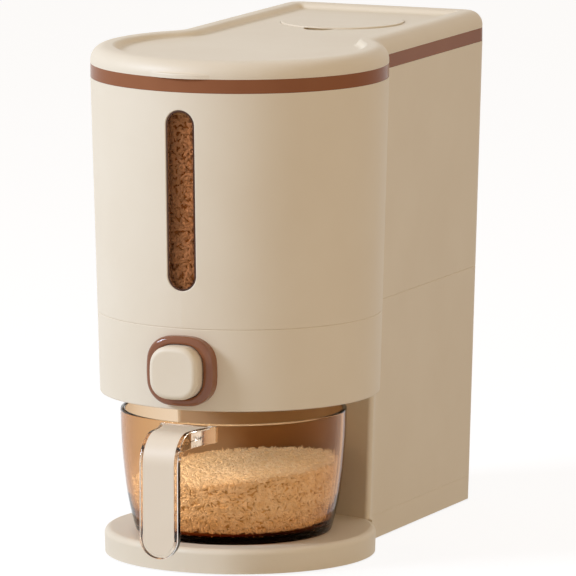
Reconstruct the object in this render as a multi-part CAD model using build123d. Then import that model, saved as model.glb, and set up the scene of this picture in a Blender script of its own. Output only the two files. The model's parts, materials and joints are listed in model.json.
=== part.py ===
from build123d import *
import os
from math import acos, atan2, cos, hypot, pi, radians, sin, sqrt, tan

# Rice dispenser in millimetres. +X right, +Y back, +Z up. It is drawn about the vertical axis of the round
# front lobe, with its feet on z = 0, and moved along Y at the end to stand over the middle of its footprint.

# Plan of the body at the trim band: a round front lobe runs into a narrower straight rear block
LOBE_R = 98.2
REAR_HALF_W = 75.0
BACK_Y = 253.4
NECK_R = 16.0
REAR_R = 16.0
CORNER_MIN_R = 3.0
DRAFT_SHARE = 0.0275
WALL = 3.0
FIT = 0.3
OVERRUN = 2.0

# Window slot, whose height and margins give the height of the hopper
WINDOW_W = 20.0
WINDOW_H = 118.6
WINDOW_RISE = 24.6
WINDOW_HEADROOM = 11.7

# Heights of the stacked parts
FOOT_SHOW = 1.0
BASE_H = 16.3
BAY_H = 91.4
HEAD_H = 54.0
HOPPER_H = WINDOW_RISE + WINDOW_H + WINDOW_HEADROOM
BAND_H = 9.2
LID_RISE = 11.4
BASE_TOP_Z = FOOT_SHOW + BASE_H
HEAD_Z = BASE_TOP_Z + BAY_H
SEAM_Z = HEAD_Z + HEAD_H
BAND_Z = SEAM_Z + HOPPER_H
LID_Z = BAND_Z + BAND_H
LID_TOP_Z = LID_Z + LID_RISE

# Body shells
SEAM_EDGE_R = 0.5
BAY_R = 190.0
BAY_Y = 67.5
COLUMN_EDGE_R = 2.5
COLUMN_STEP = 20.0
HEAD_EDGE_R = 0.8
TONGUE_H = 4.0
TONGUE_INSET = 1.6

# Screws and the bosses that take them
SCREW_R = 1.45
SCREW_HEAD_R = 3.0
SCREW_HEAD_H = 2.2
SCREW_BITE = 10.0
PILOT_R = 1.5
SCREW_HOLE_R = 1.8
BOSS_R = 4.5
BOSS_EMBED = 1.0
BOSS_H = 14.0

# Base tray, its feet and screws
BASE_TOP_T = 3.0
BASE_EDGE_R = 4.0
FOOT_R = 9.0
FOOT_SEAT = 1.5
FOOT_EDGE_R = 0.6
FOOT_RIM = 2.0
FOOT_FIT = 0.15
FRONT_FOOT_REACH = 70.0
FRONT_FOOT_ANGLE = 45.0
REAR_FOOT_X = 42.0
REAR_FOOT_INSET = 32.0
BASE_BOSS_R = 5.5
BASE_SCREW_SEAT = 5.0
COLUMN_BOSS_INSET = 34.0
NECK_BOSS_INSET = 10.4

# Head underplate and its outlet
PLATE_RECESS = 2.6
PLATE_T = 2.5
OUTLET_W = 64.0
OUTLET_D = 56.0
OUTLET_R = 8.0
PLATE_BOSS_ANGLES = (32.0, 84.0)

# Window
WINDOW_EDGE_R = 0.7
PANE_LAP = 4.0
PANE_SET = 0.5
GASKET_GAP = 0.1
GASKET_T = 0.8
LINER_T = 1.0
PANE_T = 2.5

# Trim band
BAND_T = 1.5
BAND_EDGE_R = 0.4

# Hopper funnel, spout and throat
THROAT_W = 40.0
THROAT_D = 30.0
THROAT_Y = -17.0
SPOUT_DROP = 8.8
SPOUT_H = 7.0
SPOUT_T = 2.5
FUNNEL_T = 2.8
REAR_SLOPE = 25.0
SIDE_SLOPE = 40.0
FRONT_SLOPE = 18.0
FUNNEL_BOSS_X = 44.0
FUNNEL_BOSS_FORE = 9.0
FUNNEL_BOSS_AFT = 23.0
SPOUT_Z = SEAM_Z - SPOUT_DROP
THROAT_Z = SPOUT_Z + SPOUT_H

# Button, bezel and carriage
BUTTON_RISE = 26.5
BUTTON_W = 34.0
BUTTON_H = 35.0
BUTTON_PROUD = 17.0
BUTTON_EDGE_R = 3.6
BUTTON_T = 2.4
BUTTON_LIP = 2.2
BUTTON_LIP_T = 2.0
BEZEL_W = 47.0
BEZEL_H = 46.2
BEZEL_PROUD = 7.2
BEZEL_EDGE_R = 3.2
BEZEL_INNER_R = 1.8
SLEEVE_T = 1.4
SLEEVE_DEPTH = 7.4
BULGE_SHARE = 0.11
CORNER_SHARE = 0.36
CARRIAGE_SETBACK = 8.5
CARRIAGE_T = 3.0
CARRIAGE_H = 18.0
NOSE_W = 24.0
NOSE_H = 22.0
BUTTON_Z = HEAD_Z + BUTTON_RISE

# Gate: flap on a shaft that a rack and pinion turn
SHAFT_R = 2.5
SHAFT_RUN = 0.05
HUB_R = 5.0
HUB_GAP = 0.5
SHAFT_DROP = 11.0
FLAP_T = 2.2
FLAP_LAP = 1.5
FLAP_RIB_T = 2.0
FLAP_RIB_H = 5.0
FLAP_RIB_X = 12.0
SEAL_T = 1.5
CHEEK_GAP = 1.5
CHEEK_T = 3.0
BUSH_R = 4.0
BUSH_FIT = 0.05
BUSH_FLANGE_R = 5.5
BUSH_FLANGE_T = 1.0
CLIP_R = 4.6
CLIP_T = 0.8
CLIP_GAP = 0.4
CLIP_GROOVE = 0.6
SHAFT_TAIL = 1.2
PINION_GAP = 0.6
PINION_HUB_L = 1.9
GEAR_MODULE = 1.0
PINION_TEETH = 18
PRESSURE_ANGLE = 20.0
ROOT_SHARE = 1.25
BACKLASH = 0.2
FLANK_STEPS = 4
RACK_W = 6.0
RACK_BODY_H = 4.75
RACK_TEETH_EACH_WAY = 4

# Gate frame
FRAME_T = 3.0
CHEEK_BACK = 11.0
FRAME_MARGIN = 4.9
FRAME_BOSS_ANGLES = (77.0, 100.0)
FRAME_WALL_GAP = 0.8
LEDGE_T = 2.4
LEDGE_LIP = 1.5
SEAT_T = 3.0
SEAT_GAP = 2.6

# Return spring
SPRING_R = 7.0
WIRE_R = 0.6
SPRING_TURNS = 6
SPRING_FIT = 0.15
SPIGOT_R = 6.0
SPIGOT_L = 5.0

# Lid with its gasket and finger lip
LID_EDGE_R = 9.5
LID_RIM = 17.0
LID_RECESS = 3.9
LID_CREST_R = 3.4
LID_FLOOR_R = 3.0
LID_PANEL_T = 3.0
LID_SIDE_T = 4.0
SKIRT_GAP = 1.6
SKIRT_T = 2.0
SKIRT_H = 9.0
LID_GASKET_H = 3.0
LID_GASKET_DROP = 3.0
LID_GROOVE = 0.6
LIP_OUT = 2.2
LIP_R = 50.0
LIP_H = 3.4
LIP_EDGE_R = 1.2

# Desiccant cap in the lid, its seal and basket
CAP_Y = 173.0
CAP_R = 41.6
CAP_GAP = 0.4
CAP_T = 3.0
CAP_PROUD = 1.0
CAP_EDGE_R = 0.4
CAP_LEDGE = 4.0
CAP_PLUG_H = 3.4
CAP_PLUG_T = 2.0
CAP_PLUG_GAP = 0.6
CAP_SEAL_H = 1.6
CAP_SEAL_GROOVE = 0.8
COLLAR_H = 4.0
COLLAR_W = 14.0
NOTCH_R = 11.0
NOTCH_SHIFT = 3.0
NOTCH_SKIN = 0.8
BASKET_R = 37.6
BASKET_T = 1.6
BASKET_H = 24.0
BASKET_FLANGE = 6.4
VENT_W = 3.0
VENT_L = 44.0
VENT_PITCH = 9.0
VENTS_EACH_WAY = 2

# Cup: a wide bowl with a heavy floor
CUP_Y = -10.5
CUP_H = 81.6
CUP_RIM_R = 74.8
CUP_WAIST_R = 70.6
CUP_FOOT_R = 64.6
CUP_WAIST_H = 26.0
CUP_CORNER_R_SHARE = 0.58
CUP_CORNER_H_SHARE = 0.5
CUP_WALL_BOW = 0.95
CUP_WALL = 3.2
CUP_FLOOR = 5.0
CUP_RIM_EDGE_R = 1.1
CUP_BASE_EDGE_R = 2.0
CUP_WELL_R = 7.0

# Cup handle: a clear strap that hangs from a bridge under the rim, with an inlaid plate
HANDLE_STAND = 46.7
HANDLE_W = 27.4
HANDLE_T = 5.0
HANDLE_ROOT_W = 40.0
FLARE_SHARE = 0.28
HANDLE_RIM_DROP = 1.0
HANDLE_BEND_R = 20.0
BRIDGE_T = 11.0
BRIDGE_BEND_R = 9.0
HANDLE_END_Z = 16.8
HANDLE_EDGE_R = 0.8
INLAY_T = 1.3
INLAY_MARGIN = 2.7
INLAY_FIT = 0.1
INLAY_RUN = 24.0
HANDLE_REACH = CUP_RIM_R - CUP_Y + HANDLE_STAND

NECK_Y = sqrt((LOBE_R + NECK_R) ** 2 - (REAR_HALF_W + NECK_R) ** 2)
FRAME_Y = (HANDLE_REACH - BACK_Y) / 2


def draft(z):
    """Inset of the leaning walls at height z, none at the trim band."""
    return DRAFT_SHARE * (BAND_Z - z)


def plan(inset, z):
    """Closed outline of the body at height z, drawn in from the full plan by inset."""
    lobe = LOBE_R - inset
    half = REAR_HALF_W - inset
    back = BACK_Y - inset
    neck = NECK_R + inset
    corner = max(REAR_R - inset, CORNER_MIN_R)
    neck_x = half + neck
    swing = atan2(neck_x, -NECK_Y)
    lean = atan2(NECK_Y, neck_x) / 2

    def right_side(side):
        front = (0, -lobe, z)
        front_mid = (side * lobe * sin(swing / 2), -lobe * cos(swing / 2), z)
        meet = (side * lobe * sin(swing), -lobe * cos(swing), z)
        neck_mid = (side * (neck_x - neck * cos(lean)), NECK_Y - neck * sin(lean), z)
        side_front = (side * half, NECK_Y, z)
        side_back = (side * half, back - corner, z)
        turn = corner * sqrt(1 / 2)
        corner_mid = (side * (half - corner + turn), back - corner + turn, z)
        back_end = (side * (half - corner), back, z)
        return [
            Edge.make_three_point_arc(front, front_mid, meet),
            Edge.make_three_point_arc(meet, neck_mid, side_front),
            Edge.make_line(side_front, side_back),
            Edge.make_three_point_arc(side_back, corner_mid, back_end),
        ]

    across = Edge.make_line((half - corner, back, z), (corner - half, back, z))
    return Wire(right_side(1) + [across] + right_side(-1))


def drafted(inset, z0, z1):
    """Solid inside the leaning body walls, drawn in by inset."""
    return Solid.make_loft([plan(inset + draft(z0), z0), plan(inset + draft(z1), z1)], True)


def straight(inset, z0, z1):
    """Solid with the body's plan drawn in by inset and upright walls."""
    return Solid.extrude(Face(plan(inset, z0)), (0, 0, z1 - z0))


def post(x, y, z0, z1, r):
    return Pos(x, y, z0) * Cylinder(r, z1 - z0, align=(Align.CENTER, Align.CENTER, Align.MIN))


def rod_x(y, z, x0, x1, r):
    rod = Cylinder(r, x1 - x0, align=(Align.CENTER, Align.CENTER, Align.MIN))
    return Pos(x0, y, z) * Rot(0, 90, 0) * rod


def rod_y(x, z, y0, y1, r):
    rod = Cylinder(r, y1 - y0, align=(Align.CENTER, Align.CENTER, Align.MIN))
    return Pos(x, y0, z) * Rot(-90, 0, 0) * rod


def block(x0, x1, y0, y1, z0, z1):
    centre = Pos((x0 + x1) / 2, (y0 + y1) / 2, (z0 + z1) / 2)
    return centre * Box(x1 - x0, y1 - y0, z1 - z0)


def both_sides(shape):
    return shape + mirror(shape, about=Plane.YZ)


def facing_front(sketch, z, y0, y1):
    """Prism of a sketch drawn as seen from the front, from y0 back to y1."""
    back = Plane(origin=(0, y1, z), x_dir=(1, 0, 0), z_dir=(0, -1, 0))
    return extrude(back * sketch, amount=y1 - y0)


def facing_side(sketch, x, y, z, width):
    """Prism of a sketch drawn as seen from the right, centred on y and z, from x outwards."""
    left = Plane(origin=(x, y, z), x_dir=(0, 1, 0), z_dir=(1, 0, 0))
    return extrude(left * sketch, amount=width)


def squircle(width, height):
    """Square with bowed sides and large round corners."""
    side_x = width / 2
    side_y = height / 2
    corner_x = side_x * (1 - BULGE_SHARE)
    corner_y = side_y * (1 - BULGE_SHARE)
    bows = [
        ThreePointArc((corner_x, -corner_y), (side_x, 0), (corner_x, corner_y)),
        ThreePointArc((corner_x, corner_y), (0, side_y), (-corner_x, corner_y)),
        ThreePointArc((-corner_x, corner_y), (-side_x, 0), (-corner_x, -corner_y)),
        ThreePointArc((-corner_x, -corner_y), (0, -side_y), (corner_x, -corner_y)),
    ]
    face = make_face(bows)
    return fillet(face.vertices(), CORNER_SHARE * min(width, height))


def screw(x, y, seat_z, length, up):
    """Pan-head screw whose head bears on seat_z, pointing up or down."""
    way = 1 if up else -1
    shank = post(x, y, min(seat_z, seat_z + way * length), max(seat_z, seat_z + way * length), SCREW_R)
    head_end = seat_z - way * SCREW_HEAD_H
    head = post(x, y, min(seat_z, head_end), max(seat_z, head_end), SCREW_HEAD_R)
    far_rim = head.edges().group_by(Axis.Z)[0 if up else -1]
    return shank + fillet(far_rim, SCREW_HEAD_H / 3)


def group(shapes):
    return Compound([shape.solid() for shape in shapes])


def lobe_spots(radius, angles):
    """Mirrored pairs of places round the lobe axis, at angles measured from the front."""
    spots = []
    for angle in angles:
        for side in (-1, 1):
            spots.append((side * radius * sin(radians(angle)), -radius * cos(radians(angle))))
    return spots


def column_spots(z):
    """Places of the four wall bosses along the rear block at height z, behind its neck and the bay wall."""
    x = REAR_HALF_W - draft(z) - WALL - BOSS_R + BOSS_EMBED
    bay_back_y = BAY_Y - BAY_R + sqrt((BAY_R + WALL) ** 2 - x ** 2)
    front_y = max(NECK_Y + NECK_BOSS_INSET, bay_back_y + BOSS_R + FIT)
    return [(side * x, y) for side in (-1, 1) for y in (front_y, BACK_Y - COLUMN_BOSS_INSET)]


def bay_cylinder(radius, z0, z1):
    """Everything in front of the shallow hollow wall behind the cup."""
    return post(0, BAY_Y - BAY_R, z0, z1, radius)


def lobe_boss_radius(z):
    return LOBE_R - draft(z) - WALL - BOSS_R + BOSS_EMBED


FOOT_SPOTS = lobe_spots(FRONT_FOOT_REACH, (FRONT_FOOT_ANGLE,))
FOOT_SPOTS += [(side * REAR_FOOT_X, BACK_Y - REAR_FOOT_INSET) for side in (-1, 1)]
PLATE_Z = HEAD_Z + PLATE_RECESS
PLATE_TOP_Z = PLATE_Z + PLATE_T
PLATE_SPOTS = lobe_spots(lobe_boss_radius(HEAD_Z), PLATE_BOSS_ANGLES)
FRAME_Z = SPOUT_Z + FIT
FRAME_SPOTS = lobe_spots(lobe_boss_radius(FRAME_Z), FRAME_BOSS_ANGLES)
THROAT_FRONT_Y = THROAT_Y - THROAT_D / 2
THROAT_BACK_Y = THROAT_Y + THROAT_D / 2
FUNNEL_SPOTS = [
    (side * FUNNEL_BOSS_X, y)
    for side in (-1, 1)
    for y in (THROAT_Y - FUNNEL_BOSS_FORE, THROAT_Y + FUNNEL_BOSS_AFT)
]


def base_tray():
    outer = drafted(0, FOOT_SHOW, BASE_TOP_Z)
    rim = outer.edges().group_by(Axis.Z)[-1]
    cut = bay_cylinder(BAY_R, FOOT_SHOW, BASE_TOP_Z)
    tray = (outer.fillet(BASE_EDGE_R, rim) & cut) + (outer.fillet(SEAM_EDGE_R, rim) - cut)
    tray -= drafted(WALL, FOOT_SHOW, BASE_TOP_Z - BASE_TOP_T)
    for x, y in FOOT_SPOTS:
        tray += post(x, y, FOOT_SHOW, BASE_TOP_Z - BASE_TOP_T, FOOT_R + FOOT_RIM)
    for x, y in column_spots(BASE_TOP_Z):
        tray += post(x, y, FOOT_SHOW, BASE_TOP_Z - BASE_TOP_T, BASE_BOSS_R)
    for x, y in FOOT_SPOTS:
        tray -= post(x, y, FOOT_SHOW, FOOT_SHOW + FOOT_SEAT, FOOT_R + FOOT_FIT)
    for x, y in column_spots(BASE_TOP_Z):
        tray -= post(x, y, FOOT_SHOW, BASE_TOP_Z - BASE_SCREW_SEAT, SCREW_HEAD_R + FIT)
        tray -= post(x, y, FOOT_SHOW, BASE_TOP_Z, SCREW_HOLE_R)
    return tray


def rubber_feet():
    feet = []
    for x, y in FOOT_SPOTS:
        foot = post(x, y, 0, FOOT_SHOW + FOOT_SEAT, FOOT_R)
        feet.append(fillet(foot.edges().group_by(Axis.Z)[0], FOOT_EDGE_R))
    return group(feet)


def base_screws():
    seat = BASE_TOP_Z - BASE_SCREW_SEAT
    return group([screw(x, y, seat, BASE_SCREW_SEAT + SCREW_BITE, True) for x, y in column_spots(BASE_TOP_Z)])


def lower_body():
    column = drafted(0, BASE_TOP_Z, HEAD_Z) - bay_cylinder(BAY_R, BASE_TOP_Z, HEAD_Z)
    bay_wall = column.faces().filter_by(GeomType.CYLINDER).sort_by(lambda face: abs(face.center().X))[0]
    uprights = bay_wall.edges().filter_by(lambda edge: edge.bounding_box().size.Z > BAY_H / 2)
    column = column.fillet(COLUMN_EDGE_R, uprights)
    head = drafted(0, HEAD_Z, SEAM_Z)
    head = head.fillet(SEAM_EDGE_R, head.edges().group_by(Axis.Z)[-1])
    overhang = head & block(-LOBE_R, LOBE_R, -LOBE_R, BAY_Y - COLUMN_STEP, HEAD_Z, SEAM_Z)
    rim = [edge for edge in overhang.edges().group_by(Axis.Z)[0] if edge.geom_type == GeomType.CIRCLE]
    overhang = overhang.fillet(HEAD_EDGE_R, rim)
    behind = head & block(-LOBE_R, LOBE_R, BAY_Y - COLUMN_STEP, BACK_Y, HEAD_Z, SEAM_Z)
    shell = column + behind + overhang
    hollow = drafted(WALL, HEAD_Z, SEAM_Z + OVERRUN)
    hollow += drafted(WALL, BASE_TOP_Z - OVERRUN, HEAD_Z) - bay_cylinder(BAY_R + WALL, 0, HEAD_Z)
    shell -= hollow
    for x, y in column_spots(BASE_TOP_Z):
        shell += post(x, y, BASE_TOP_Z, BASE_TOP_Z + BOSS_H, BOSS_R)
        shell -= post(x, y, BASE_TOP_Z, BASE_TOP_Z + BOSS_H, PILOT_R)
    for x, y in column_spots(SEAM_Z):
        shell += post(x, y, SEAM_Z - BOSS_H, SEAM_Z, BOSS_R)
        shell -= post(x, y, SEAM_Z - BOSS_H, SEAM_Z, SCREW_HOLE_R)
    for x, y in PLATE_SPOTS:
        shell += post(x, y, PLATE_TOP_Z, PLATE_TOP_Z + BOSS_H, BOSS_R)
        shell -= post(x, y, PLATE_TOP_Z, PLATE_TOP_Z + BOSS_H, PILOT_R)
    for x, y in FRAME_SPOTS:
        shell += post(x, y, FRAME_Z - BOSS_H, FRAME_Z, BOSS_R)
        shell -= post(x, y, FRAME_Z - BOSS_H, FRAME_Z, PILOT_R)
    shell -= drafted(TONGUE_INSET - FIT / 2, SEAM_Z - TONGUE_H - FIT, SEAM_Z + OVERRUN) - drafted(
        WALL, SEAM_Z - TONGUE_H - FIT, SEAM_Z + OVERRUN
    )
    sleeve_hole = squircle(sleeve_width(BUTTON_W) + 2 * FIT, sleeve_width(BUTTON_H) + 2 * FIT)
    return shell - facing_front(sleeve_hole, BUTTON_Z, -LOBE_R, sleeve_end_y())


def head_underplate():
    plate = drafted(WALL + FIT, PLATE_Z, PLATE_TOP_Z) & bay_cylinder(BAY_R + WALL, PLATE_Z, PLATE_TOP_Z)
    outlet = RectangleRounded(OUTLET_W, OUTLET_D, OUTLET_R)
    plate -= extrude(Pos(0, THROAT_Y, PLATE_Z) * outlet, amount=PLATE_T)
    for x, y in PLATE_SPOTS:
        plate -= post(x, y, PLATE_Z, PLATE_TOP_Z, SCREW_HOLE_R)
    return plate


def underplate_screws():
    return group([screw(x, y, PLATE_Z, PLATE_T + SCREW_BITE, True) for x, y in PLATE_SPOTS])


def window_slot(margin, y_back):
    slot = SlotOverall(WINDOW_H + 2 * margin, WINDOW_W + 2 * margin, rotation=90)
    return facing_front(slot, window_z(), -LOBE_R, y_back)


def window_z():
    return SEAM_Z + WINDOW_RISE + WINDOW_H / 2


def upper_body():
    outer = drafted(0, SEAM_Z, BAND_Z)
    outer = outer.fillet(SEAM_EDGE_R, outer.edges().group_by(Axis.Z)[0])
    shell = outer + straight(BAND_T, BAND_Z, LID_Z)
    shell += drafted(TONGUE_INSET, SEAM_Z - TONGUE_H, SEAM_Z)
    shell -= drafted(WALL, SEAM_Z - TONGUE_H - OVERRUN, LID_Z + OVERRUN)
    for x, y in column_spots(SEAM_Z):
        shell += post(x, y, SEAM_Z, SEAM_Z + BOSS_H, BOSS_R)
        shell -= post(x, y, SEAM_Z, SEAM_Z + BOSS_H, PILOT_R)
    shell -= window_slot(0, 0)
    return shell.fillet(WINDOW_EDGE_R, window_rim(shell))


def window_rim(shell):
    """Outer edges of the window slot, the ones on the leaning front of the lobe."""

    def on_front(edge):
        middle = edge.center()
        off_face = LOBE_R - draft(middle.Z) - hypot(middle.X, middle.Y)
        near = 0 < abs(middle.X) <= WINDOW_W / 2 and middle.Y < 0
        return near and abs(middle.Z - window_z()) < WINDOW_H / 2 and off_face < WALL / 4

    return shell.edges().filter_by(on_front)


def body_screws():
    seat = SEAM_Z - BOSS_H
    return group([screw(x, y, seat, BOSS_H + SCREW_BITE, True) for x, y in column_spots(SEAM_Z)])


def window_layer(inset, thickness, margin):
    """Piece of a layer inside the front wall, as wide as the window slot and a margin."""
    low = SEAM_Z
    high = BAND_Z
    layer = drafted(inset, low, high) - drafted(inset + thickness, low, high)
    return (layer & window_slot(margin, 0)).solid()


def window_gasket():
    """Rubber flange behind the wall, with a lip that lines the slot round the pane's plug."""
    flange = window_layer(WALL + GASKET_GAP, GASKET_T, PANE_LAP)
    liner = window_layer(PANE_SET, WALL + GASKET_GAP + GASKET_T - PANE_SET, -GASKET_GAP)
    return flange + liner - window_slot(-GASKET_GAP - LINER_T, 0)


def window_pane():
    """Clear insert: a flange behind the wall and a plug that fills the slot almost to its face."""
    flange_inset = WALL + GASKET_GAP + GASKET_T + GASKET_GAP
    flange = window_layer(flange_inset, PANE_T, PANE_LAP)
    plug_margin = -GASKET_GAP - LINER_T - GASKET_GAP
    return flange + window_layer(PANE_SET, flange_inset - PANE_SET, plug_margin)


def trim_band():
    band = straight(0, BAND_Z, LID_Z)
    ends = band.edges().group_by(Axis.Z)
    band = band.fillet(BAND_EDGE_R, ends[0] + ends[-1])
    return band - straight(BAND_T, BAND_Z, LID_Z)


def slope_block(drop):
    """Space over the four hopper slopes, lowered by drop."""
    rise = BAND_Z - THROAT_Z
    front = rise / tan(radians(FRONT_SLOPE))
    back = rise / tan(radians(REAR_SLOPE))
    side = rise / tan(radians(SIDE_SLOPE))
    mouth = Pos(0, THROAT_Y, THROAT_Z - drop) * Rectangle(THROAT_W, THROAT_D)
    spread = Rectangle(THROAT_W + 2 * side, THROAT_D + front + back)
    top = Pos(0, THROAT_Y + (back - front) / 2, BAND_Z - drop) * spread
    return Solid.make_loft([mouth.wire(), top.wire()], True)


def hopper_funnel():
    flow = slope_block(0)
    shell = slope_block(FUNNEL_T) & drafted(WALL + FIT, SPOUT_Z, BAND_Z)
    spout = Rectangle(THROAT_W + 2 * SPOUT_T, THROAT_D + 2 * SPOUT_T)
    shell += extrude(Pos(0, THROAT_Y, SPOUT_Z) * spout, amount=SPOUT_H)
    for x, y in FUNNEL_SPOTS:
        shell += post(x, y, FRAME_Z + FRAME_T, SEAM_Z + HOPPER_H / 2, BOSS_R)
    shell -= flow
    shell -= extrude(Pos(0, THROAT_Y, SPOUT_Z) * Rectangle(THROAT_W, THROAT_D), amount=SPOUT_H)
    for x, y in FUNNEL_SPOTS:
        shell -= post(x, y, FRAME_Z + FRAME_T, FRAME_Z + FRAME_T + SCREW_BITE + FIT, PILOT_R)
    return shell


def funnel_screws():
    return group([screw(x, y, FRAME_Z, FRAME_T + SCREW_BITE, True) for x, y in FUNNEL_SPOTS])


def head_front_y():
    """Outer face of the head at the button's height."""
    return draft(BUTTON_Z) - LOBE_R


def sleeve_width(size):
    return size + 2 * FIT + 2 * SLEEVE_T


def sleeve_end_y():
    return head_front_y() + SLEEVE_DEPTH


def button_bezel():
    front_y = head_front_y() - BEZEL_PROUD
    ring = facing_front(squircle(BEZEL_W, BEZEL_H), BUTTON_Z, front_y, sleeve_end_y())
    ring = ring.fillet(BEZEL_EDGE_R, ring.edges().group_by(Axis.Y)[0])
    ring -= drafted(0, HEAD_Z, SEAM_Z)
    sleeve = squircle(sleeve_width(BUTTON_W), sleeve_width(BUTTON_H))
    ring += facing_front(sleeve, BUTTON_Z, head_front_y(), sleeve_end_y())
    opening = squircle(BUTTON_W + 2 * FIT, BUTTON_H + 2 * FIT)
    ring -= facing_front(opening, BUTTON_Z, front_y, sleeve_end_y())
    front = ring.faces().sort_by(Axis.Y)[0]
    return ring.fillet(BEZEL_INNER_R, front.inner_wires()[0].edges())


def button_face_y():
    return head_front_y() - BUTTON_PROUD


def button_lip_y():
    return sleeve_end_y() + FIT


def push_button():
    lip_y = button_lip_y()
    cap = facing_front(squircle(BUTTON_W, BUTTON_H), BUTTON_Z, button_face_y(), lip_y)
    cap = cap.fillet(BUTTON_EDGE_R, cap.edges().group_by(Axis.Y)[0])
    lip = squircle(BUTTON_W + 2 * BUTTON_LIP, BUTTON_H + 2 * BUTTON_LIP)
    cap += facing_front(lip, BUTTON_Z, lip_y, lip_y + BUTTON_LIP_T)
    inside = squircle(BUTTON_W - 2 * BUTTON_T, BUTTON_H - 2 * BUTTON_T)
    return cap - facing_front(inside, BUTTON_Z, button_face_y() + BUTTON_T, lip_y + BUTTON_LIP_T)


PITCH_R = GEAR_MODULE * PINION_TEETH / 2
SPOUT_BACK_Y = THROAT_BACK_Y + SPOUT_T
SHAFT_Y = SPOUT_BACK_Y + HUB_GAP + HUB_R
SHAFT_Z = SPOUT_Z - SHAFT_DROP
RACK_PITCH_Z = SHAFT_Z - PITCH_R
RACK_ROOT_Z = RACK_PITCH_Z - ROOT_SHARE * GEAR_MODULE
ARM_Z = RACK_ROOT_Z - RACK_BODY_H
CHEEK_X = THROAT_W / 2 + SPOUT_T + CHEEK_GAP
CHEEK_OUT_X = CHEEK_X + CHEEK_T
PINION_X = CHEEK_OUT_X + PINION_GAP + PINION_HUB_L
FLAP_HALF_W = CHEEK_X - BUSH_FLANGE_T - FIT
SEAL_Z = SPOUT_Z - FIT - SEAL_T
FLAP_Z = SEAL_Z - FLAP_T
FLAP_FRONT_Y = THROAT_FRONT_Y - SPOUT_T - FLAP_LAP
SEAT_BACK_Y = FLAP_FRONT_Y - SEAT_GAP
SEAT_FRONT_Y = SEAT_BACK_Y - SEAT_T
CARRIAGE_FRONT_Y = button_lip_y() + BUTTON_LIP_T + CARRIAGE_SETBACK
CARRIAGE_BACK_Y = CARRIAGE_FRONT_Y + CARRIAGE_T


def rack_tooth(y):
    """One straight-sided rack tooth seen from the side, centred on y."""
    tip = RACK_PITCH_Z + GEAR_MODULE
    slope = tan(radians(PRESSURE_ANGLE))
    at_pitch = pi * GEAR_MODULE / 4 - BACKLASH / 2
    at_tip = at_pitch - GEAR_MODULE * slope
    at_root = at_pitch + ROOT_SHARE * GEAR_MODULE * slope
    corners = [(y - at_root, RACK_ROOT_Z), (y - at_tip, tip), (y + at_tip, tip), (y + at_root, RACK_ROOT_Z)]
    return make_face(Polyline(*corners, close=True))


def button_carriage():
    arm_end_y = SHAFT_Y + (RACK_TEETH_EACH_WAY + 1) * pi * GEAR_MODULE
    arm = block(PINION_X, PINION_X + RACK_W, CARRIAGE_FRONT_Y, arm_end_y, ARM_Z, RACK_ROOT_Z)
    yoke = both_sides(arm)
    plate_z = BUTTON_Z - CARRIAGE_H / 2
    plate_x = PINION_X + RACK_W
    yoke += block(-plate_x, plate_x, CARRIAGE_FRONT_Y, CARRIAGE_BACK_Y, plate_z, plate_z + CARRIAGE_H)
    nose_y = button_face_y() + BUTTON_T
    nose_z = BUTTON_Z - NOSE_H / 2
    yoke += block(-NOSE_W / 2, NOSE_W / 2, nose_y, CARRIAGE_FRONT_Y, nose_z, nose_z + NOSE_H)
    yoke += rod_y(0, BUTTON_Z, CARRIAGE_BACK_Y, CARRIAGE_BACK_Y + SPIGOT_L, SPIGOT_R)
    for step in range(-RACK_TEETH_EACH_WAY, RACK_TEETH_EACH_WAY + 1):
        tooth = rack_tooth(SHAFT_Y + step * pi * GEAR_MODULE)
        yoke += facing_side(tooth, PINION_X, 0, 0, RACK_W)
    return yoke


def flank(radius):
    """Half the angle that a pinion tooth fills at this radius."""
    base = PITCH_R * cos(radians(PRESSURE_ANGLE))
    away = acos(min(1, base / radius))
    pitch_angle = radians(PRESSURE_ANGLE)
    at_pitch = (pi * GEAR_MODULE / 2 - BACKLASH) / (2 * PITCH_R)
    return at_pitch + tan(pitch_angle) - pitch_angle - tan(away) + away


def gate_pinion():
    base = PITCH_R * cos(radians(PRESSURE_ANGLE))
    root = PITCH_R - ROOT_SHARE * GEAR_MODULE
    tip = PITCH_R + GEAR_MODULE
    rise = [root] + [base + (tip - base) * step / FLANK_STEPS for step in range(FLANK_STEPS + 1)]
    points = []
    for tooth in range(PINION_TEETH):
        middle = -pi / 2 + (tooth + 1 / 2) * 2 * pi / PINION_TEETH
        angles = [(r, middle - flank(r)) for r in rise] + [(r, middle + flank(r)) for r in reversed(rise)]
        points += [(r * cos(angle), r * sin(angle)) for r, angle in angles]
    gear = facing_side(make_face(Polyline(*points, close=True)), PINION_X, SHAFT_Y, SHAFT_Z, RACK_W)
    gear += rod_x(SHAFT_Y, SHAFT_Z, PINION_X - PINION_HUB_L, PINION_X, HUB_R)
    return gear - rod_x(SHAFT_Y, SHAFT_Z, PINION_X - PINION_HUB_L, PINION_X + RACK_W, SHAFT_R)


def clip_x():
    return -CHEEK_OUT_X - CLIP_GAP - CLIP_T


def gate_shaft():
    rod = rod_x(SHAFT_Y, SHAFT_Z, clip_x() - SHAFT_TAIL, PINION_X + RACK_W, SHAFT_R)
    groove = rod_x(SHAFT_Y, SHAFT_Z, clip_x(), clip_x() + CLIP_T, SHAFT_R)
    return rod - (groove - rod_x(SHAFT_Y, SHAFT_Z, clip_x(), clip_x() + CLIP_T, SHAFT_R - CLIP_GROOVE))


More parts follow.
